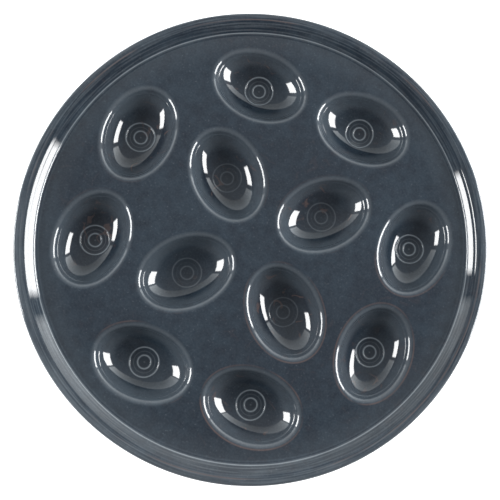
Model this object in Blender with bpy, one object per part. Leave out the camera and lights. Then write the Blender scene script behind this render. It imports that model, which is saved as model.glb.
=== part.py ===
import math

import bmesh
import bpy
from mathutils import Matrix

# Driving sizes, in metres. A well's length and width are taken across its rounded shoulders.
WELL_LENGTH = 0.0646
WELL_WIDTH = 0.0488
WELL_DEPTH = 0.0155
SHOULDER_RADIUS = 0.005
RING_RADIUS = 0.009
INNER_RING_RADIUS = 0.0043
RING_WIDTH = 0.001
RING_HEIGHT = 0.0004

# A land is the flat left between one well's room and the next.
ROW_LAND = 0.0029
INNER_LAND = 0.0043
RING_LAND = 0.0035
DECK_MARGIN = 0.0029

RIM_RISE = 0.0068
RIM_SLOPE = math.radians(46)
COVE_RADIUS = 0.005
LIP_RADIUS = 0.004
LIP_FLAT = 0.0025
EDGE_RADIUS = 0.0015

DECK_THICKNESS = 0.006
FLOOR_THICKNESS = 0.005
BOSS_FILLET = 0.004
FOOT_DROP = 0.002
FOOT_GAP = 0.0026
FOOT_WIDTH = 0.0065
FOOT_FILLET = 0.0025
FOOT_CHAMFER = 0.0006
DRY_BAND = 0.0006

GLAZE = 0.0006
BOND_GAP = 0.0003

WELL_SEGMENTS = 20
BOSS_SEGMENTS = 14
RIM_SEGMENTS = 52
SAME_LEVEL = 1e-6
SHARP_EDGE = math.radians(50)

# Heights above the table.
deck_top = FOOT_DROP + FLOOR_THICKNESS + WELL_DEPTH
rim_top = deck_top + RIM_RISE
underside = deck_top - DECK_THICKNESS
glaze_line = DRY_BAND + FOOT_CHAMFER

# A well falls away in a convex shoulder arc, which runs into a concave bowl arc at bowl_angle.
half_length = WELL_LENGTH / 2
half_width = WELL_WIDTH / 2
bowl_angle = 2 * math.atan(WELL_DEPTH / half_width)
bowl_radius = half_width / math.sin(bowl_angle) - SHOULDER_RADIUS
bowl_length = half_length - SHOULDER_RADIUS * math.sin(bowl_angle)
bowl_width = half_width - SHOULDER_RADIUS * math.sin(bowl_angle)

# The boss under it follows the bowl one floor thickness away and meets the underside in a fillet.
boss_radius = bowl_radius + FLOOR_THICKNESS
boss_angle = math.acos(1 - (underside - FOOT_DROP) / (boss_radius + BOSS_FILLET))
boss_width = boss_radius * math.sin(boss_angle)
boss_length = boss_width + (bowl_length - bowl_width) * math.sin(boss_angle) / math.sin(bowl_angle)
fillet_run = BOSS_FILLET * math.sin(boss_angle)
room_length = max(half_length, boss_length + fillet_run)
room_width = max(half_width, boss_width + fillet_run)

# Four inner wells lie on the diagonals. Four rows of two run around them as the sides of a square.
diagonal_reach = math.sqrt((room_length**2 + room_width**2) / 2)
inner_offset = diagonal_reach + INNER_LAND / 2
row_offset = inner_offset + diagonal_reach + RING_LAND + room_width
row_pitch = room_length + ROW_LAND / 2
room_reach = max(
    math.hypot(
        row_pitch + room_length * math.cos(math.radians(turn)),
        row_offset + room_width * math.sin(math.radians(turn)),
    )
    for turn in range(360)
)

# Radii of the turned rim and foot.
arcs_run = (COVE_RADIUS + LIP_RADIUS) * math.sin(RIM_SLOPE)
arcs_rise = (COVE_RADIUS + LIP_RADIUS) * (1 - math.cos(RIM_SLOPE))
deck_radius = room_reach + DECK_MARGIN
lip_inner = deck_radius + arcs_run + (RIM_RISE - arcs_rise) / math.tan(RIM_SLOPE)
lip_outer = lip_inner + LIP_FLAT
plate_radius = lip_outer + EDGE_RADIUS
foot_inner = room_reach + FOOT_GAP
foot_outer = foot_inner + FOOT_WIDTH
taper = math.atan2(plate_radius - foot_outer, rim_top - EDGE_RADIUS - glaze_line)


def well_places():
    places = []
    for quarter in range(4):
        turned = Matrix.Rotation(quarter * math.pi / 2, 4, "Z")
        for side in (-1, 1):
            places.append(turned @ Matrix.Translation((side * row_pitch, row_offset, 0)))
        diagonal = Matrix.Rotation(math.pi / 4, 4, "Z")
        places.append(turned @ Matrix.Translation((inner_offset, inner_offset, 0)) @ diagonal)
    return places


def arc(centre, radius, start, stop, steps):
    angles = [start + (stop - start) * step / steps for step in range(steps + 1)]
    return [(centre[0] + radius * math.cos(a), centre[1] + radius * math.sin(a)) for a in angles]


def level(height):
    return lambda x, y: height


def dish(bottom, length, width, radius, angle):
    """Height over an oval bowl whose section across its width is an arc of this radius."""

    def height_at(x, y):
        sine = min(math.hypot(x / length, y / width), 1) * math.sin(angle)
        return bottom + radius * (1 - math.sqrt(1 - sine**2))

    return height_at


def edges_at(bm, height):
    def on_level(edge):
        return all(abs(vert.co.z - height) < SAME_LEVEL for vert in edge.verts)

    return [edge for edge in bm.edges if edge.is_boundary and on_level(edge)]


def turn_profile(bm, points):
    verts = [bm.verts.new((radius, 0, height)) for radius, height in points]
    edges = [bm.edges.new(pair) for pair in zip(verts, verts[1:])]
    bmesh.ops.spin(
        bm,
        geom=verts + edges,
        axis=(0, 0, 1),
        cent=(0, 0, 0),
        angle=math.tau,
        steps=RIM_SEGMENTS,
        use_merge=True,
    )


def loft_oval(bm, place, sections, floor_at, segments):
    """Skins nested oval loops from the first section to the last, and closes them on the floor."""
    away = place.inverted()

    def settle(verts, height_at):
        for vert in verts:
            local = away @ vert.co
            vert.co.z = height_at(local.x, local.y)

    outer = []
    for length, width, height_at in sections:
        oval = place @ Matrix.Diagonal((length, width, 1, 1))
        verts = bmesh.ops.create_circle(bm, segments=segments, radius=1, matrix=oval)["verts"]
        settle(verts, height_at)
        inner = list({edge for vert in verts for edge in vert.link_edges})
        if outer:
            bmesh.ops.bridge_loops(bm, edges=outer + inner)
        outer = inner
    floor = bmesh.ops.edgeloop_fill(bm, edges=outer)["faces"]
    settle(bmesh.ops.poke(bm, faces=floor)["verts"], floor_at)


def well_sections(inset, ringed):
    """Loops of a well's skin, moved this far into the clay; ringed adds the round shoulder and the rings."""
    shoulder = SHOULDER_RADIUS - inset
    length = bowl_length + inset * math.sin(bowl_angle)
    width = bowl_width + inset * math.sin(bowl_angle)
    bottom = deck_top - WELL_DEPTH - inset
    bowl = dish(bottom, length, width, bowl_radius + inset, bowl_angle)
    crest = dish(bottom + RING_HEIGHT, length, width, bowl_radius + inset, bowl_angle)
    seat = RING_RADIUS + RING_WIDTH
    groove = RING_RADIUS - RING_WIDTH

    sections = [(half_length, half_width, level(deck_top - inset))]
    if ringed:
        run = shoulder * math.sin(bowl_angle / 2)
        fall = shoulder * (1 - math.cos(bowl_angle / 2))
        sections.append((half_length - run, half_width - run, level(deck_top - inset - fall)))
    sections.append((length, width, bowl))
    sections.append(((length + seat) / 2, (width + seat) / 2, bowl))
    sections.append((seat, seat, bowl))
    if ringed:
        sections.append((RING_RADIUS, RING_RADIUS, crest))
        sections.append((groove, groove, bowl))
        sections.append((INNER_RING_RADIUS, INNER_RING_RADIUS, crest))
    return sections, bowl


def boss_sections(inset):
    length = boss_length - inset * math.sin(boss_angle)
    width = boss_width - inset * math.sin(boss_angle)
    dome = dish(FOOT_DROP + inset, length, width, boss_radius - inset, boss_angle)
    sections = [
        (boss_length + fillet_run, boss_width + fillet_run, level(underside + inset)),
        (length, width, dome),
        (length / 2, width / 2, dome),
    ]
    return sections, dome


def upper_profile(inset, show):
    """From the deck's edge over the rim and down the outer wall; show gives the finer outside face."""
    lip = LIP_RADIUS - inset
    edge = EDGE_RADIUS - inset
    cove = COVE_RADIUS + inset
    upright = math.pi / 2
    profile = arc((deck_radius, deck_top + COVE_RADIUS), cove, -upright, RIM_SLOPE - upright, 2 if show else 1)
    profile += arc((lip_inner, rim_top - LIP_RADIUS), lip, upright + RIM_SLOPE, upright, 2 if show else 1)
    profile += arc((lip_outer, rim_top - EDGE_RADIUS), edge, upright, -taper, 3 if show else 2)
    profile.append((foot_outer - inset / math.cos(taper), glaze_line))
    return profile


def foot_profile(inset):
    """The bare clay between the two glaze lines, with the face that it stands on."""
    outer = foot_outer - inset / math.cos(taper)
    inner = foot_inner + inset
    return [
        (outer, FOOT_CHAMFER),
        (outer - FOOT_CHAMFER, 0),
        (inner + FOOT_CHAMFER, 0),
        (inner, FOOT_CHAMFER),
    ]


def under_profile(inset):
    """From the glaze line up the inside of the foot to the flat underside."""
    centre = (foot_inner - FOOT_FILLET, underside - FOOT_FILLET)
    return [(foot_inner + inset, glaze_line), *arc(centre, FOOT_FILLET + inset, 0, math.pi / 2, 2)]


def sink_wells(bm, inset, show):
    sections, bowl = well_sections(inset, show)
    for place in well_places():
        loft_oval(bm, place, sections, bowl, WELL_SEGMENTS)
    bmesh.ops.triangle_fill(bm, edges=edges_at(bm, deck_top - inset), use_beauty=True)


def raise_bosses(bm, inset):
    sections, dome = boss_sections(inset)
    for place in well_places():
        loft_oval(bm, place, sections, dome, BOSS_SEGMENTS)
    bmesh.ops.triangle_fill(bm, edges=edges_at(bm, underside + inset), use_beauty=True)


def coloured(name, colour, roughness):
    material = bpy.data.materials.new(name)
    material.use_nodes = True
    shader = material.node_tree.nodes["Principled BSDF"]
    shader.inputs["Base Color"].default_value = (*colour, 1)
    shader.inputs["Roughness"].default_value = roughness
    material.diffuse_color = (*colour, 1)
    return material


def add_piece(bm, name, material, parent):
    bmesh.ops.recalc_face_normals(bm, faces=bm.faces)
    bmesh.ops.triangulate(bm, faces=bm.faces)
    mesh = bpy.data.meshes.new(name)
    bm.to_mesh(mesh)
    bm.free()
    mesh.shade_smooth()
    mesh.set_sharp_from_angle(angle=SHARP_EDGE)
    mesh.materials.append(material)
    piece = bpy.data.objects.new(name, mesh)
    piece.parent = parent
    bpy.context.scene.collection.objects.link(piece)


def stoneware_body(parent):
    inset = GLAZE + BOND_GAP
    bm = bmesh.new()
    turn_profile(bm, upper_profile(inset, False) + foot_profile(inset) + under_profile(inset))
    sink_wells(bm, inset, False)
    raise_bosses(bm, inset)
    add_piece(bm, "stoneware_body", coloured("bare stoneware", (0.56, 0.5, 0.42), 0.75), parent)


def upper_glaze(parent):
    bm = bmesh.new()
    turn_profile(bm, upper_profile(0, True) + upper_profile(GLAZE, False)[::-1])
    sink_wells(bm, 0, True)
    sink_wells(bm, GLAZE, False)
    add_piece(bm, "upper_glaze", coloured("slate glaze", (0.04, 0.051, 0.074), 0.06), parent)


def underside_glaze(parent):
    bm = bmesh.new()
    turn_profile(bm, under_profile(0)[::-1] + under_profile(GLAZE))
    raise_bosses(bm, 0)
    raise_bosses(bm, GLAZE)
    add_piece(bm, "underside_glaze", coloured("underside glaze", (0.04, 0.051, 0.074), 0.1), parent)


def clear_scene():
    for leftover in list(bpy.data.objects):
        bpy.data.objects.remove(leftover)


clear_scene()
plate = bpy.data.objects.new("egg_plate", None)
bpy.context.scene.collection.objects.link(plate)
stoneware_body(plate)
upper_glaze(plate)
underside_glaze(plate)
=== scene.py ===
import math
import bmesh
import bpy
from mathutils import Matrix, Vector


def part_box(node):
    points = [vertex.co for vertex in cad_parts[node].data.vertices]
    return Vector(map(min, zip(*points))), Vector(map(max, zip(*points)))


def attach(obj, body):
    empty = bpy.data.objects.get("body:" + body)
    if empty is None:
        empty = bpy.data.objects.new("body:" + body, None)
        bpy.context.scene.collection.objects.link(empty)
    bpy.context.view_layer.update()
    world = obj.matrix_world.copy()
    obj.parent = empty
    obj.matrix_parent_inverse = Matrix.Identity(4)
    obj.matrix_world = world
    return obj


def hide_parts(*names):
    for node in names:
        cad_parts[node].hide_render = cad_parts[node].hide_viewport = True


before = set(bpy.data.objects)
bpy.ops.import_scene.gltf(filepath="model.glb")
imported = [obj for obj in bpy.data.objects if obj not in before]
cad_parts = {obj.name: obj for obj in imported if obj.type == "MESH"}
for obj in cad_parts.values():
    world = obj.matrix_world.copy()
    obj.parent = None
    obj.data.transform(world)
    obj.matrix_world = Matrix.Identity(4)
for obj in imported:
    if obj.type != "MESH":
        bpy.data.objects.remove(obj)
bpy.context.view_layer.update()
scene = bpy.context.scene
mm = 0.001
upright = Vector((0, 0, 1))
quarterTurn = math.pi / 2


def hexColour(code):  # sRGB hex to the linear colour that shaders take
    parts = [int(code[i:i + 2], 16) / 255 for i in (1, 3, 5)]
    return [p / 12.92 if p <= 0.04045 else ((p + 0.055) / 1.055) ** 2.4 for p in parts] + [1]


def addNode(tree, kind, settings=None, links=None):  # a node given as a link stands for its first output
    node = tree.nodes.new(kind)
    for key, value in (settings or {}).items():
        if isinstance(key, int) or key in node.inputs:
            node.inputs[key].default_value = value
        else:
            setattr(node, key, value)
    for key, source in (links or {}).items():
        if isinstance(source, bpy.types.Node):
            source = source.outputs[0]
        tree.links.new(source, node.inputs[key])
    return node


def newMaterial(name):
    material = bpy.data.materials.new(name)
    material.use_nodes = True
    tree = material.node_tree
    return material, tree, tree.nodes["Principled BSDF"]


def addMesh(bm, name, material):
    mesh = bpy.data.meshes.new(name)
    bm.to_mesh(mesh)
    bm.free()
    mesh.materials.append(material)
    item = bpy.data.objects.new(name, mesh)
    scene.collection.objects.link(item)
    return item


def aimFrom(place, back, up):
    right = up.cross(back).normalized()
    turn = Matrix((right, back.cross(right), back)).transposed().to_4x4()
    return Matrix.Translation(place) @ turn


# camera: the photograph is taken from above, a little towards its lower left
view = {
    "location": Vector((-9.12, -52.68, 552.5)) * mm,
    "aim": Vector((16.4, 29.56, 22.5)) * mm,
    "roll": math.radians(22.0),  # the picture's right hand, turned from +X
    "lens": 62.62,
    "sensor": 36,
    "shift": (-0.0978, -0.0824),  # the picture is cut from the lower left of a wider one
}
pictureRight = Vector((math.cos(view["roll"]), math.sin(view["roll"]), 0))
pictureUp = Vector((-math.sin(view["roll"]), math.cos(view["roll"]), 0))


def placeCamera():
    camera = bpy.data.objects.new("camera", bpy.data.cameras.new("camera"))
    camera.data.lens = view["lens"]
    camera.data.sensor_width = view["sensor"]
    camera.data.shift_x, camera.data.shift_y = view["shift"]
    back = (view["location"] - view["aim"]).normalized()
    camera.matrix_world = aimFrom(view["location"], back, pictureUp)
    scene.collection.objects.link(camera)
    scene.camera = camera
    print("camera set")


placeCamera()

# plate: the sizes that its three pieces share; a pair of counts is for a hidden and for a shown face
plate = {
    "deckTop": 22.5 * mm,
    "underside": 16.5 * mm,
    "deckRadius": 128.93 * mm,
    "radius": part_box("upper_glaze")[1].x,
    "rimTop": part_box("upper_glaze")[1].z,
    "rimSlope": math.radians(46),
    "coveRadius": 5 * mm,
    "edgeRadius": 1.5 * mm,
    "footInner": 128.63 * mm,
    "footOuter": 135.13 * mm,
    "footFillet": 2.5 * mm,
    "footChamfer": 0.6 * mm,
    "glazeLine": 1.2 * mm,
    "glaze": 0.6 * mm,
    "bondGap": 0.3 * mm,
    "turns": 240,
    "coveSteps": (4, 14),
    "edgeSteps": (5, 12),
    "filletSteps": (3, 8),
    "chamferSteps": 4,
    "wallLoops": (0.02, 0.5, 0.97),  # as shares of the outer wall's fall
    "sameLevel": 0.001 * mm,
    "weld": 0.0001 * mm,
    "sharpEdge": math.radians(60),
}
plate["lipOuter"] = plate["radius"] - plate["edgeRadius"]
plate["taper"] = math.atan2(
    plate["radius"] - plate["footOuter"],
    plate["rimTop"] - plate["edgeRadius"] - plate["glazeLine"],
)

# well: a round shoulder that runs into an oval bowl
well = {
    "halfLength": 32.3 * mm,
    "halfWidth": 24.4 * mm,
    "depth": 15.5 * mm,
    "shoulderRadius": 5 * mm,
    "rowPitch": 35.06 * mm,
    "rowOffset": 92.16 * mm,
    "innerOffset": 32.29 * mm,
    "guard": 0.5 * mm,  # flat ring round the mouth that keeps the deck's shading level
    "rings": [  # radius, half width and height
        (9 * mm, 0.7 * mm, 0.3 * mm),
        (6.5 * mm, 0.5 * mm, 0.05 * mm),
        (4.05 * mm, 0.8 * mm, 0.34 * mm),
    ],
    "innerClarity": 0.25,  # share of the rings' height in the four inner wells, where they show less
    "ringField": 11 * mm,
    "ringLoops": (1.2, 0.85, 0.5, 0.2),  # on both sides of a ring, as shares of its half width
    "dot": (0.8 * mm, 0.1 * mm),
    "dotLoops": (1.1, 0.75, 0.4),
    "line": (0.075, 0.04, 0.22 * mm),  # fine raised line near the top of the bowl: shares of the way in
    "lineLoops": 4,  # on both sides of its middle
    "hiddenLoops": (1, 0.6, 0.25),
    "mouthFall": (0.01 * mm, 0.1 * mm),  # fall of the loops that carry each mouth's painted brown reflection
    "segments": (40, 84),
    "shoulderSteps": (4, 12),
    "bowlSteps": (5, 9),
}
well["angle"] = 2 * math.atan(well["depth"] / well["halfWidth"])
well["bowlRadius"] = well["halfWidth"] / math.sin(well["angle"]) - well["shoulderRadius"]

# boss: the round form under each well
boss = {
    "bottom": 2 * mm,
    "floor": 5 * mm,
    "fillet": 4 * mm,
    "segments": (28, 56),
    "filletSteps": (2, 5),
    "domeSteps": (4, 9),
}
boss["radius"] = well["bowlRadius"] + boss["floor"]
boss["angle"] = math.acos(1 - (plate["underside"] - boss["bottom"]) / (boss["radius"] + boss["fillet"]))


def wellPlaces():
    outer, inner = [], []
    for quarter in range(4):
        turned = Matrix.Rotation(quarter * quarterTurn, 4, "Z")
        for side in (-1, 1):
            outer.append(turned @ Matrix.Translation((side * well["rowPitch"], well["rowOffset"], 0)))
        diagonal = Matrix.Translation((well["innerOffset"], well["innerOffset"], 0))
        inner.append(turned @ diagonal @ Matrix.Rotation(quarterTurn / 2, 4, "Z"))
    return outer, inner


def arcPoints(centre, radius, start, stop, steps):
    turns = [start + (stop - start) * step / steps for step in range(steps + 1)]
    return [(centre[0] + radius * math.cos(a), centre[1] + radius * math.sin(a)) for a in turns]


def dish(bottom, length, width, radius, angle):
    def heightAt(x, y):
        sine = min(math.hypot(x / length, y / width), 1) * math.sin(angle)
        return bottom + radius * (1 - math.sqrt(1 - sine ** 2))
    return heightAt


def level(height):
    return lambda x, y: height


def ridge(distance, halfWidth, height):
    if abs(distance) >= halfWidth:
        return 0
    return height * math.cos(quarterTurn * distance / halfWidth) ** 2


def rampUp(value, start, reach):
    return min(1, max(0, (value - start) / reach))


def ringRelief(radius):
    dotRadius, dotHeight = well["dot"]
    relief = sum(ridge(radius - at, half, height) for at, half, height in well["rings"])
    return relief + ridge(radius, dotRadius, dotHeight)


def drawBowl(sections, segments):
    # each loop is drawn out of the last, pulled to its own oval and dropped to its height
    bm = bmesh.new()
    layer = bm.verts.layers.float.new("thinGlazeAndSheen")
    length, width = sections[0][:2]
    oval = Matrix.Diagonal((length, width, 1, 1))
    verts = bmesh.ops.create_circle(bm, segments=segments, radius=1, matrix=oval)["verts"]
    edges = list(bm.edges)
    for step, (nextLength, nextWidth, heightAt, paleness) in enumerate(sections):
        if step:
            made = bmesh.ops.extrude_edge_only(bm, edges=edges)["geom"]
            verts = [item for item in made if isinstance(item, bmesh.types.BMVert)]
            edges = [item for item in made if isinstance(item, bmesh.types.BMEdge) and item.is_boundary]
            pull = (nextLength / length, nextWidth / width, 1)
            bmesh.ops.scale(bm, vec=pull, verts=verts)
        for vert in verts:
            vert.co.z = heightAt(vert.co.x, vert.co.y)
            vert[layer] = paleness
        length, width = nextLength, nextWidth
    floor = bmesh.ops.edgeloop_fill(bm, edges=edges)["faces"]
    for vert in bmesh.ops.poke(bm, faces=floor)["verts"]:
        vert.co.z = heightAt(0, 0)
        vert[layer] = paleness
    bowl = bpy.data.meshes.new("bowl")
    bm.to_mesh(bowl)
    bm.free()
    return bowl


def setBowls(bm, bowl, places):
    for place in places:
        bowl.transform(place)
        bm.from_mesh(bowl)
        bowl.transform(place.inverted())
    bpy.data.meshes.remove(bowl)


def fillFlat(bm, height):
    # the flat between the oval mouths and the turned edge
    def onLevel(edge):
        return edge.is_boundary and all(abs(vert.co.z - height) < plate["sameLevel"] for vert in edge.verts)
    rings = [edge for edge in bm.edges if onLevel(edge)]
    bmesh.ops.triangle_fill(bm, edges=rings, use_beauty=True)


def floorLoops():
    # loops sit close on the rings and wide between them
    radii = [well["ringField"]]
    for at, half, height in well["rings"]:
        gaps = [half * share for share in well["ringLoops"]]
        radii += [at + gap for gap in gaps] + [at - gap for gap in reversed(gaps)]
    dotRadius = well["dot"][0]
    return radii + [dotRadius * share for share in well["dotLoops"]]


def wellSections(inset, shown, clarity):
    # every section has two half sizes, its height and how pale the glaze is, from thin glass and painted
    # sheen
    shoulder = well["shoulderRadius"] - inset
    angle = well["angle"]
    top = plate["deckTop"] - inset
    halfLength, halfWidth = well["halfLength"], well["halfWidth"]
    sections = [(halfLength + well["guard"], halfWidth + well["guard"], level(top), 0)]
    steps = well["shoulderSteps"][shown]
    for step in range(steps):
        turn = angle * step / steps
        run = shoulder * math.sin(turn)
        fall = shoulder * (1 - math.cos(turn))
        share = step / steps
        paleness = ridge(share - glazeLook["shoulderAt"], glazeLook["shoulderHalf"], glazeLook["shoulderThin"])
        # painted sheen grows over the shoulder towards the bowl
        paleness += glazeLook["flankSheen"] * share ** 2
        sections.append((halfLength - run, halfWidth - run, level(top - fall), paleness))

    bowlLength = halfLength - shoulder * math.sin(angle)
    bowlWidth = halfWidth - shoulder * math.sin(angle)
    bottom = plate["deckTop"] - well["depth"] - inset
    bowl = dish(bottom, bowlLength, bowlWidth, well["bowlRadius"] + inset, angle)
    field = well["ringField"]
    lineAt, lineHalf, lineHeight = well["line"]
    steps = well["bowlSteps"][shown]
    shares = [step / steps for step in range(steps)]
    if shown:
        loops = well["lineLoops"]
        shares += [lineAt + lineHalf * step / loops for step in range(-loops, loops + 1)]
    for share in sorted(shares):
        relief = ridge(share - lineAt, lineHalf, lineHeight) if shown else 0
        # painted sheen on the steep upper bowl, fading further in
        sections.append((
            bowlLength + (field - bowlLength) * share,
            bowlWidth + (field - bowlWidth) * share,
            lambda x, y, relief=relief: bowl(x, y) + relief,
            glazeLook["flankSheen"] * rampUp(glazeLook["flankReach"] - share, 0, glazeLook["flankFade"]),
        ))
    if not shown:
        return sections + [(field * share, field * share, bowl, 0) for share in well["hiddenLoops"]]

    def ringed(x, y):
        return bowl(x, y) + clarity * ringRelief(math.hypot(x, y))
    highest = max(height for at, half, height in well["rings"])
    for radius in floorLoops():
        sections.append((radius, radius, ringed, clarity * ringRelief(radius) / highest))
    return sections


def bossSections(inset, shown):
    angle = boss["angle"]
    fillet = boss["fillet"] + inset
    width = boss["radius"] * math.sin(angle)
    longer = (well["halfLength"] - well["halfWidth"]) * math.sin(angle) / math.sin(well["angle"])
    top = plate["underside"] + inset
    run = boss["fillet"] * math.sin(angle)
    innerWidth = width - inset * math.sin(angle)
    dome = dish(boss["bottom"] + inset, innerWidth + longer, innerWidth, boss["radius"] - inset, angle)
    guard = well["guard"]
    sections = [(width + longer + run + guard, width + run + guard, level(top), 0)]
    steps = boss["filletSteps"][shown]
    for step in range(steps):
        turn = angle * step / steps
        back = fillet * math.sin(turn)
        fall = fillet * (1 - math.cos(turn))
        sections.append((width + longer + run - back, width + run - back, level(top - fall), 0))
    steps = boss["domeSteps"][shown]
    for step in range(steps):
        share = 1 - step / steps
        sections.append(((innerWidth + longer) * share, innerWidth * share, dome, 0))
    return sections


def spinLine(bm, line, angle, steps):
    verts = [bm.verts.new(point) for point in line]
    edges = [bm.edges.new(pair) for pair in zip(verts, verts[1:])]
    bmesh.ops.spin(
        bm,
        geom=verts + edges,
        axis=upright,
        cent=(0, 0, 0),
        angle=angle,
        steps=steps,
        use_merge=angle == math.tau,  # a full turn is closed
    )


def turnProfile(bm, points):
    spinLine(bm, [(radius, 0, height) for radius, height in points], math.tau, plate["turns"])


# rim: what the turning left on the inside slope, as radius, half width and height of each line
rim = {
    "crease": (132.1 * mm, 0.5 * mm, 0.14 * mm),  # fine raised line where the slope leaves the deck
    "lines": [
        (133.6 * mm, 0.4 * mm, 0.015 * mm),
        (134.9 * mm, 0.4 * mm, 0.02 * mm),
        (138.4 * mm, 0.5 * mm, 0.03 * mm),
        (139.7 * mm, 0.5 * mm, 0.02 * mm),
    ],
    "bead": (136.8 * mm, 0.8 * mm, 0.06 * mm),  # soft line along the lip
    "roll": [  # slopes that each arc of the lip runs between, and its radius
        (math.radians(46), math.radians(41), 8 * mm),
        (math.radians(41), math.radians(40), 120 * mm),
        (math.radians(40), 0, 6.3 * mm),
    ],
    "streaks": [(1.9 * mm, 0.033), (1.13 * mm, 0.026)],  # pitch and strength of the tone that turning left
    "lipStart": 136.6 * mm,
    "lipReach": 2.5 * mm,
    "sheenSide": math.radians(262),  # where the painted sheen on the lip is strongest
    "edgeStart": 141.4 * mm,
    "edgeReach": 1 * mm,
    # painted brown reflection in a line along the lip
    "brownLineAt": 139 * mm,
    "brownLineHalf": 0.6 * mm,
    "step": 0.12 * mm,
    "hiddenSteps": 2,
}


def rimRelief(radius):
    lines = [rim["crease"], *rim["lines"], rim["bead"]]
    return sum(ridge(radius - at, half, height) for at, half, height in lines)


def rollLip(inset, shown):
    # arcs laid outwards from the top of the ramp to the flat of the lip
    slope = plate["rimSlope"]
    rise = sum(radius * (math.cos(stop) - math.cos(start)) for start, stop, radius in rim["roll"])
    top = plate["rimTop"] - rise
    foot = plate["deckTop"] + plate["coveRadius"] * (1 - math.cos(slope))
    reach = plate["deckRadius"] + plate["coveRadius"] * math.sin(slope) + (top - foot) / math.tan(slope)
    tangent = Vector((reach, top))
    points = []
    for start, stop, radius in rim["roll"]:
        centre = tangent + radius * Vector((math.sin(start), -math.cos(start)))
        steps = round(radius * (start - stop) / rim["step"]) if shown else rim["hiddenSteps"]
        arc = arcPoints(centre, radius - inset, quarterTurn + start, quarterTurn + stop, steps)
        points += arc[1:] if points else arc
        tangent = centre + radius * Vector((-math.sin(stop), math.cos(stop)))
    return points


def upperProfile(inset, shown):
    slope = plate["rimSlope"]
    cove = plate["coveRadius"] + inset
    coveCentre = (plate["deckRadius"], plate["deckTop"] + plate["coveRadius"])
    inner = arcPoints(coveCentre, cove, -quarterTurn, slope - quarterTurn, plate["coveSteps"][shown])
    edge = rollLip(inset, shown)
    points = inner + edge
    if shown:
        start, stop = Vector(inner[-1]), Vector(edge[0])
        steps = round((stop - start).length / rim["step"])
        ramp = [tuple(start.lerp(stop, step / steps)) for step in range(1, steps)]
        points = [(plate["deckRadius"] - well["guard"], plate["deckTop"])]
        points += [(radius, height + rimRelief(radius)) for radius, height in inner + ramp + edge]
    corner = (plate["lipOuter"], plate["rimTop"] - plate["edgeRadius"])
    edgeRadius = plate["edgeRadius"] - inset
    points += arcPoints(corner, edgeRadius, quarterTurn, -plate["taper"], plate["edgeSteps"][shown])
    base = (plate["footOuter"] - inset / math.cos(plate["taper"]), plate["glazeLine"])
    if shown:
        last = Vector(points[-1])
        points += [tuple(last.lerp(Vector(base), share)) for share in plate["wallLoops"]]
    points.append(base)
    return points


def footProfile(inset):
    outer = plate["footOuter"] - inset / math.cos(plate["taper"])
    inner = plate["footInner"] + inset
    chamfer = plate["footChamfer"]
    steps = plate["chamferSteps"]
    outerEdge = arcPoints((outer - chamfer, chamfer), chamfer, 0, -quarterTurn, steps)
    innerEdge = arcPoints((inner + chamfer, chamfer), chamfer, -quarterTurn, -math.pi, steps)
    return outerEdge + innerEdge


def underProfile(inset, shown):
    fillet = plate["footFillet"]
    centre = (plate["footInner"] - fillet, plate["underside"] - fillet)
    points = [(plate["footInner"] + inset, plate["glazeLine"])]
    points += arcPoints(centre, fillet + inset, 0, quarterTurn, plate["filletSteps"][shown])
    if shown:
        points.append((points[-1][0] - well["guard"], points[-1][1]))
    return points


def sinkWells(bm, inset, shown):
    for places, clarity in zip(wellPlaces(), (1, well["innerClarity"])):
        bowl = drawBowl(wellSections(inset, shown, clarity), well["segments"][shown])
        setBowls(bm, bowl, places)
    fillFlat(bm, plate["deckTop"] - inset)


def raiseBosses(bm, inset, shown):
    for places in wellPlaces():
        bowl = drawBowl(bossSections(inset, shown), boss["segments"][shown])
        setBowls(bm, bowl, places)
    fillFlat(bm, plate["underside"] + inset)


def toneGlaze(bm):
    # glass runs off raised lines and edges, so the clay shows a little paler through it; the lip also gets a
    # painted sheen, and the lip and the mouths get a painted brown reflection
    paleness = bm.verts.layers.float["thinGlazeAndSheen"]
    brownLayer = bm.verts.layers.float.new("brownReflection")
    creaseAt, creaseHalf = rim["crease"][:2]
    lowest, highest = well["mouthFall"]
    for vert in bm.verts:
        radius = math.hypot(vert.co.x, vert.co.y)
        fall = plate["deckTop"] - vert.co.z
        if fall < -lowest:
            tones = [strength * math.sin(math.tau * radius / pitch) for pitch, strength in rim["streaks"]]
            # painted sheen on the lip, even all round and strongest towards one side
            aside = math.cos(math.atan2(vert.co.y, vert.co.x) - rim["sheenSide"])
            lip = glazeLook["lipSheen"] + glazeLook["sideSheen"] * max(0, aside)
            lip *= rampUp(radius, rim["lipStart"], rim["lipReach"])
            lip += glazeLook["edgeBreak"] * rampUp(radius, rim["edgeStart"], rim["edgeReach"])
            crease = ridge(radius - creaseAt, creaseHalf, glazeLook["creaseThin"])
            vert[paleness] = crease + sum(tones) + lip
            vert[brownLayer] = ridge(radius - rim["brownLineAt"], rim["brownLineHalf"], 1)
        # painted brown reflection round each mouth, stronger towards the near side
        if lowest < fall < highest:
            nearness = -vert.co.dot(pictureUp)
            vert[brownLayer] = rampUp(nearness, glazeLook["mouthStart"], glazeLook["mouthReach"])


def finishPiece(bm, name, material, node):
    bmesh.ops.remove_doubles(bm, verts=bm.verts, dist=plate["weld"])
    bmesh.ops.recalc_face_normals(bm, faces=bm.faces)
    piece = addMesh(bm, name, material)
    piece.data.shade_smooth()
    piece.data.set_sharp_from_angle(angle=plate["sharpEdge"])
    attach(piece, "root")
    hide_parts(node)
    print(name, len(piece.data.polygons), "faces")


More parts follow.
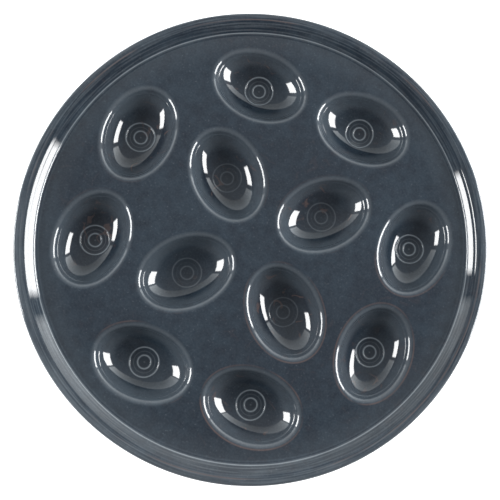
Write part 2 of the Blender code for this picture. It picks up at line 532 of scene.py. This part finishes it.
# slate glaze: a dark blue-grey glass fired smooth, so it shows the lamps as sharp white shapes
glazeLook = {
    "colour": "#27323c",
    "deepColour": "#1d2630",
    # pale glaze where the glass runs thin, also used for painted sheen
    "thinAndSheenColour": "#979ea3",
    "brownReflectionColour": "#67534d",  # painted reflection of a brown thing, shown as wisps in patches
    "ior": 1.6,
    "gloss": {"To Min": 0.018, "To Max": 0.048},  # roughness, which changes from speck to speck
    "cloud": {"Scale": 1 / (45 * mm), "Detail": 3},
    "mottle": {"Scale": 1 / (6 * mm), "Detail": 4},
    "patch": {"From Min": 0.82, "From Max": 1.18},  # where clouds and mottle together turn deeper
    "swell": {"Scale": 1 / (9 * mm), "Detail": 1},
    "swellBump": {"Strength": 1, "Distance": 0.002 * mm},
    "speck": {"Scale": 1 / (1.2 * mm), "Detail": 2},
    "fleck": {"From Min": 0.68, "From Max": 0.76, "To Max": 0.105},  # the palest of the specks
    "grain": {"From Min": 0.35, "From Max": 0.65, "To Max": 0.029},
    # by distance from the middle, painted light pales the tone over the last of the deck, and the tone
    # deepens on the rim's slope
    "edge": {"From Min": 118 * mm, "From Max": 130 * mm, "To Max": 0.059},
    "slope": {"From Min": 132.5 * mm, "From Max": 134 * mm, "To Max": 0.033},
    "streakPitch": 1 * mm,
    "streakTurn": (5, 5, 0),
    "streak": {"Scale": 1, "Detail": 2},
    "streakSwing": {"From Min": 0.35, "From Max": 0.65, "To Min": -1.1, "To Max": 3.1},
    "shoulderThin": 0.157,
    "shoulderAt": 0.52,  # as shares of the shoulder's turn
    "shoulderHalf": 0.46,
    "flankSheen": 0.111,  # painted sheen that pales the steepest part of a well
    "flankReach": 0.62,
    "flankFade": 0.248,
    "creaseThin": 0.62,
    # painted sheen on the lip: all round, and more on one side
    "lipSheen": 0.052,
    "sideSheen": 0.105,
    "edgeBreak": 0.131,
    "vein": {"Scale": 1 / (15 * mm), "Detail": 1},
    "veinAt": 0.5,
    "veinWidth": 0.018,
    "veinGap": {"From Min": 0.5, "From Max": 0.58},
    "wisp": {"To Min": 0.03, "To Max": 0.55},
    # by height, few wisps are left on the deck
    "sunk": {"From Min": 13 * mm, "From Max": 18.5 * mm, "To Min": 1, "To Max": 0.12},
    "mouth": {"To Max": 0.5},
    "mouthStart": -60 * mm,  # painted brown reflection along the mouths shows more towards the near side
    "mouthReach": 150 * mm,
    # patches where the painted brown reflection shows
    "reflectionPatch": {"From Min": 0.49, "From Max": 0.6},
}


def rimTone(tree, place):
    # painted light makes it paler towards the rim; then deeper on its slope in streaks that follow the
    # turning
    reach = addNode(tree, "ShaderNodeVectorMath", {"operation": "LENGTH"}, {0: place}).outputs["Value"]
    edge = addNode(tree, "ShaderNodeMapRange", glazeLook["edge"], {"Value": reach})
    slope = addNode(tree, "ShaderNodeMapRange", glazeLook["slope"], {"Value": reach})
    around = addNode(tree, "ShaderNodeVectorMath", {"operation": "NORMALIZE"}, {0: place})
    pitch = {"operation": "DIVIDE", 1: glazeLook["streakPitch"]}
    across = addNode(tree, "ShaderNodeMath", pitch, {0: reach})
    lift = addNode(tree, "ShaderNodeCombineXYZ", {}, {"Z": across})
    turn = {"operation": "MULTIPLY_ADD", 1: glazeLook["streakTurn"]}
    drawn = addNode(tree, "ShaderNodeVectorMath", turn, {0: around, 2: lift})
    streak = addNode(tree, "ShaderNodeTexNoise", glazeLook["streak"], {"Vector": drawn})
    swing = addNode(tree, "ShaderNodeMapRange", glazeLook["streakSwing"], {"Value": streak})
    deep = addNode(tree, "ShaderNodeMath", {"operation": "MULTIPLY"}, {0: slope, 1: swing})
    return addNode(tree, "ShaderNodeMath", {"operation": "SUBTRACT"}, {0: edge, 1: deep})


def thinAndSheenShare(tree, place, speck):
    # how far the glaze pales: thin glass and painted sheen that the mesh carries, flecks and grain, and
    # painted light towards the rim
    fleck = addNode(tree, "ShaderNodeMapRange", glazeLook["fleck"], {"Value": speck})
    grain = addNode(tree, "ShaderNodeMapRange", glazeLook["grain"], {"Value": speck})
    spots = addNode(tree, "ShaderNodeMath", {"operation": "ADD"}, {0: grain, 1: fleck})
    marks = addNode(tree, "ShaderNodeAttribute", {"attribute_name": "thinGlazeAndSheen"}).outputs["Fac"]
    inner = addNode(tree, "ShaderNodeMath", {"operation": "ADD"}, {0: marks, 1: spots})
    total = {"operation": "ADD", "use_clamp": True}
    return addNode(tree, "ShaderNodeMath", total, {0: rimTone(tree, place), 1: inner})


def brownReflectionShare(tree, place, cloud, mottle):
    # painted reflection of a brown thing: short wisps low in the wells, and lines round the mouths
    vein = addNode(tree, "ShaderNodeTexNoise", glazeLook["vein"], {"Vector": place})
    band = {"operation": "COMPARE", 1: glazeLook["veinAt"], 2: glazeLook["veinWidth"]}
    line = addNode(tree, "ShaderNodeMath", band, {0: vein})
    gap = addNode(tree, "ShaderNodeMapRange", glazeLook["veinGap"], {"Value": mottle})
    broken = addNode(tree, "ShaderNodeMath", {"operation": "MULTIPLY"}, {0: line, 1: gap})
    wisp = addNode(tree, "ShaderNodeMapRange", glazeLook["wisp"], {"Value": broken})
    height = addNode(tree, "ShaderNodeSeparateXYZ", {}, {"Vector": place}).outputs["Z"]
    sunk = addNode(tree, "ShaderNodeMapRange", glazeLook["sunk"], {"Value": height})
    low = addNode(tree, "ShaderNodeMath", {"operation": "MULTIPLY"}, {0: wisp, 1: sunk})
    marks = addNode(tree, "ShaderNodeAttribute", {"attribute_name": "brownReflection"}).outputs["Fac"]
    mouth = addNode(tree, "ShaderNodeMapRange", glazeLook["mouth"], {"Value": marks})
    brown = addNode(tree, "ShaderNodeMath", {"operation": "MAXIMUM"}, {0: low, 1: mouth})
    reflectionPatch = addNode(tree, "ShaderNodeMapRange", glazeLook["reflectionPatch"], {"Value": cloud})
    return addNode(tree, "ShaderNodeMath", {"operation": "MULTIPLY"}, {0: reflectionPatch, 1: brown})


def slateGlaze(name):
    material, tree, shader = newMaterial(name)
    place = addNode(tree, "ShaderNodeTexCoord").outputs["Object"]
    cloud = addNode(tree, "ShaderNodeTexNoise", glazeLook["cloud"], {"Vector": place})
    mottle = addNode(tree, "ShaderNodeTexNoise", glazeLook["mottle"], {"Vector": place})
    speck = addNode(tree, "ShaderNodeTexNoise", glazeLook["speck"], {"Vector": place})
    swell = addNode(tree, "ShaderNodeTexNoise", glazeLook["swell"], {"Vector": place})
    mixed = addNode(tree, "ShaderNodeMath", {"operation": "ADD"}, {0: cloud, 1: mottle})
    patch = addNode(tree, "ShaderNodeMapRange", glazeLook["patch"], {"Value": mixed})
    tone = addNode(
        tree, "ShaderNodeMixRGB",
        {"Color1": hexColour(glazeLook["colour"]), "Color2": hexColour(glazeLook["deepColour"])},
        {"Fac": patch},
    )
    paled = addNode(
        tree, "ShaderNodeMixRGB",
        {"Color2": hexColour(glazeLook["thinAndSheenColour"])},
        {"Fac": thinAndSheenShare(tree, place, speck), "Color1": tone},
    )
    # the painted brown reflection is mixed in here
    withBrownReflection = addNode(
        tree, "ShaderNodeMixRGB",
        {"Color2": hexColour(glazeLook["brownReflectionColour"])},
        {"Fac": brownReflectionShare(tree, place, cloud, mottle), "Color1": paled},
    )
    gloss = addNode(tree, "ShaderNodeMapRange", glazeLook["gloss"], {"Value": speck})
    bump = addNode(tree, "ShaderNodeBump", glazeLook["swellBump"], {"Height": swell})
    shader.inputs["IOR"].default_value = glazeLook["ior"]
    tree.links.new(withBrownReflection.outputs["Color"], shader.inputs["Base Color"])
    tree.links.new(gloss.outputs["Result"], shader.inputs["Roughness"])
    tree.links.new(bump.outputs["Normal"], shader.inputs["Normal"])
    return material


# dry stoneware: sanded clay without glaze, matt and a little gritty
clayLook = {
    "colour": "#b3a48d",
    "darkColour": "#8f8069",
    "roughness": 0.85,
    "grain": {"Scale": 1 / (0.6 * mm), "Detail": 4},
    "blotch": {"Scale": 1 / (14 * mm), "Detail": 3},
    "patch": {"From Min": 0.12, "From Max": 0.38},
    "grit": {"Strength": 0.6, "Distance": 0.04 * mm},
}


def dryStoneware(name):
    material, tree, shader = newMaterial(name)
    place = addNode(tree, "ShaderNodeTexCoord").outputs["Object"]
    grain = addNode(tree, "ShaderNodeTexNoise", clayLook["grain"], {"Vector": place})
    blotch = addNode(tree, "ShaderNodeTexNoise", clayLook["blotch"], {"Vector": place})
    mixed = addNode(tree, "ShaderNodeMath", {"operation": "MULTIPLY"}, {0: grain, 1: blotch})
    patch = addNode(tree, "ShaderNodeMapRange", clayLook["patch"], {"Value": mixed})
    tone = addNode(
        tree, "ShaderNodeMixRGB",
        {"Color1": hexColour(clayLook["darkColour"]), "Color2": hexColour(clayLook["colour"])},
        {"Fac": patch},
    )
    bump = addNode(tree, "ShaderNodeBump", clayLook["grit"], {"Height": grain})
    shader.inputs["Roughness"].default_value = clayLook["roughness"]
    tree.links.new(tone.outputs["Color"], shader.inputs["Base Color"])
    tree.links.new(bump.outputs["Normal"], shader.inputs["Normal"])
    return material


def buildPieces():
    inset = plate["glaze"] + plate["bondGap"]
    bm = bmesh.new()
    turnProfile(bm, upperProfile(inset, False) + footProfile(inset) + underProfile(inset, False))
    sinkWells(bm, inset, False)
    raiseBosses(bm, inset, False)
    finishPiece(bm, "clayBody", dryStoneware("dry stoneware"), "stoneware_body")

    bm = bmesh.new()
    turnProfile(bm, upperProfile(0, True) + upperProfile(plate["glaze"], False)[::-1])
    sinkWells(bm, 0, True)
    sinkWells(bm, plate["glaze"], False)
    toneGlaze(bm)
    finishPiece(bm, "topGlaze", slateGlaze("slate glaze"), "upper_glaze")

    bm = bmesh.new()
    turnProfile(bm, underProfile(0, True)[::-1] + underProfile(plate["glaze"], False))
    raiseBosses(bm, 0, True)
    raiseBosses(bm, plate["glaze"], False)
    finishPiece(bm, "footGlaze", slateGlaze("slate glaze under the foot"), "underside_glaze")


buildPieces()

# studio: a white table, a lamp on each side and a pale curved wall behind
studio = {
    "lampDistance": 0.66,
    "lampGlow": 17,  # counts against 1 for plain white
    "lampFade": 0.03,
    "right": {"low": 0.045, "high": 0.39, "near": -0.24, "far": 0.235},
    "left": {"low": 0.07, "high": 0.37, "near": -0.19, "far": 0.175},
    "wallRadius": 1.3,
    "wallHeight": 1.0,
    "wallStart": math.radians(22.5),
    "wallStop": math.radians(160.5),
    "wallDim": math.radians(100),  # where the wall is dimmest and highest
    "wallFall": 0.8,
    "wallFade": math.radians(2.5),
    "wallColour": (0.95, 1, 1.02, 1),
    "wallGlow": 1.35,
    "rightGlow": 25,  # added to it towards each end
    "leftGlow": 24,
    "glowRise": 3,
    "topShare": 0.7,  # share of the glow that is left at the top
    "topEase": 1.5,
    "wallSteps": 90,
    "wallRows": 14,
    "rowEase": 1.6,  # rows are closer low down
    "roomColour": (0.93, 1, 1.08, 1),
    "roomGlow": {"From Min": -0.6, "From Max": 0.6, "To Min": 0.2, "To Max": 0.55},  # dimmer on the near side
    "floor": "#f2f2f2",
    "floorRadius": 12,
    "floorSides": 96,
    "floorRoughness": 0.9,
    "floorGlow": 0.72,
}


def stageMesh(bm, name, material):
    item = addMesh(bm, name, material)
    return item


def hangLamp(name, centre, facing, width, height):
    # lit cloth that fades at its edges
    data = bpy.data.lights.new(name, "AREA")
    data.shape = "RECTANGLE"
    data.size = width
    data.size_y = height
    data.energy = studio["lampGlow"] * math.pi * width * height
    data.use_nodes = True
    tree = data.node_tree
    cloth = addNode(tree, "ShaderNodeNewGeometry").outputs["Parametric"]
    parts = addNode(tree, "ShaderNodeSeparateXYZ", {}, {"Vector": cloth})
    fades = []
    for axis, size in (("X", width), ("Y", height)):
        inward = addNode(
            tree, "ShaderNodeMath", {"operation": "PINGPONG", 1: 0.5}, {0: parts.outputs[axis]},
        )
        fades.append(addNode(
            tree, "ShaderNodeMapRange", {"From Max": studio["lampFade"] / size}, {"Value": inward},
        ))
    fade = addNode(tree, "ShaderNodeMath", {"operation": "MULTIPLY"}, {0: fades[0], 1: fades[1]})
    tree.links.new(fade.outputs["Value"], tree.nodes["Emission"].inputs["Strength"])
    lamp = bpy.data.objects.new(name, data)
    lamp.matrix_world = aimFrom(centre, -facing.normalized(), upright)
    lamp.visible_camera = False
    scene.collection.objects.link(lamp)


def hangLamps():
    deck = Vector((0, 0, plate["deckTop"]))
    for name, side in (("right", 1), ("left", -1)):
        box = studio[name]
        centre = deck + pictureRight * side * studio["lampDistance"]
        centre += pictureUp * (box["near"] + box["far"]) / 2 + upright * (box["low"] + box["high"]) / 2
        width = box["far"] - box["near"]
        height = box["high"] - box["low"]
        hangLamp(name + " lamp", centre, pictureRight * -side, width, height)


def glowPaper(name):
    # lit paper, which the glaze shows as a soft pale light
    material, tree, shader = newMaterial(name)
    tree.nodes.remove(shader)
    glow = addNode(tree, "ShaderNodeAttribute", {"attribute_name": "glow"}).outputs["Fac"]
    shine = addNode(tree, "ShaderNodeEmission", {"Color": studio["wallColour"]}, {"Strength": glow})
    tree.links.new(shine.outputs["Emission"], tree.nodes["Material Output"].inputs["Surface"])
    return material


def raiseWall():
    # paper wall, brightest low down and towards its ends
    bm = bmesh.new()
    layer = bm.verts.layers.float.new("glow")
    turned = Matrix.Rotation(view["roll"] + studio["wallStart"], 3, "Z")
    first = turned @ Vector((studio["wallRadius"], 0, 0))
    rows = studio["wallRows"]
    heights = [studio["wallHeight"] * (row / rows) ** studio["rowEase"] for row in range(rows + 1)]
    sweep = studio["wallStop"] - studio["wallStart"]
    spinLine(bm, [(first.x, first.y, height) for height in heights], sweep, studio["wallSteps"])
    for vert in bm.verts:
        around = math.atan2(vert.co.dot(pictureUp), vert.co.dot(pictureRight))
        offset = (around - studio["wallDim"]) / sweep
        endGlow = studio["rightGlow"] if offset < 0 else studio["leftGlow"]
        along = studio["wallGlow"] + endGlow * abs(offset) ** studio["glowRise"]
        end = min(around - studio["wallStart"], studio["wallStop"] - around)
        along *= rampUp(end, 0, studio["wallFade"])
        depth = max(0, 1 - vert.co.z / studio["wallHeight"])
        vert[layer] = along * (studio["topShare"] + (1 - studio["topShare"]) * depth ** studio["topEase"])
        vert.co.z *= 1 - studio["wallFall"] * offset ** 2
    stageMesh(bm, "wall", glowPaper("paper wall")).visible_camera = False


def lightRoom():
    world = bpy.data.worlds.new("studio")
    world.use_nodes = True
    tree = world.node_tree
    place = addNode(tree, "ShaderNodeTexCoord").outputs["Generated"]
    slant = addNode(tree, "ShaderNodeVectorMath", {"operation": "DOT_PRODUCT", 1: pictureUp}, {0: place})
    glow = addNode(tree, "ShaderNodeMapRange", studio["roomGlow"], {"Value": slant.outputs["Value"]})
    sky = tree.nodes["Background"]
    sky.inputs["Color"].default_value = studio["roomColour"]
    tree.links.new(glow.outputs["Result"], sky.inputs["Strength"])
    scene.world = world


def layFloor():
    # white paper, matt and lit so that it stays plain white
    bm = bmesh.new()
    sides = studio["floorSides"]
    bmesh.ops.create_circle(bm, cap_ends=True, segments=sides, radius=studio["floorRadius"])
    material, tree, shader = newMaterial("white paper")
    shader.inputs["Base Color"].default_value = hexColour(studio["floor"])
    shader.inputs["Roughness"].default_value = studio["floorRoughness"]
    shader.inputs["Emission Color"].default_value = (1, 1, 1, 1)
    shader.inputs["Emission Strength"].default_value = studio["floorGlow"]
    stageMesh(bm, "floor", material)


def lightStudio():
    hangLamps()
    raiseWall()
    lightRoom()
    layFloor()
    scene.view_settings.view_transform = "Standard"
    print("studio lit")


lightStudio()
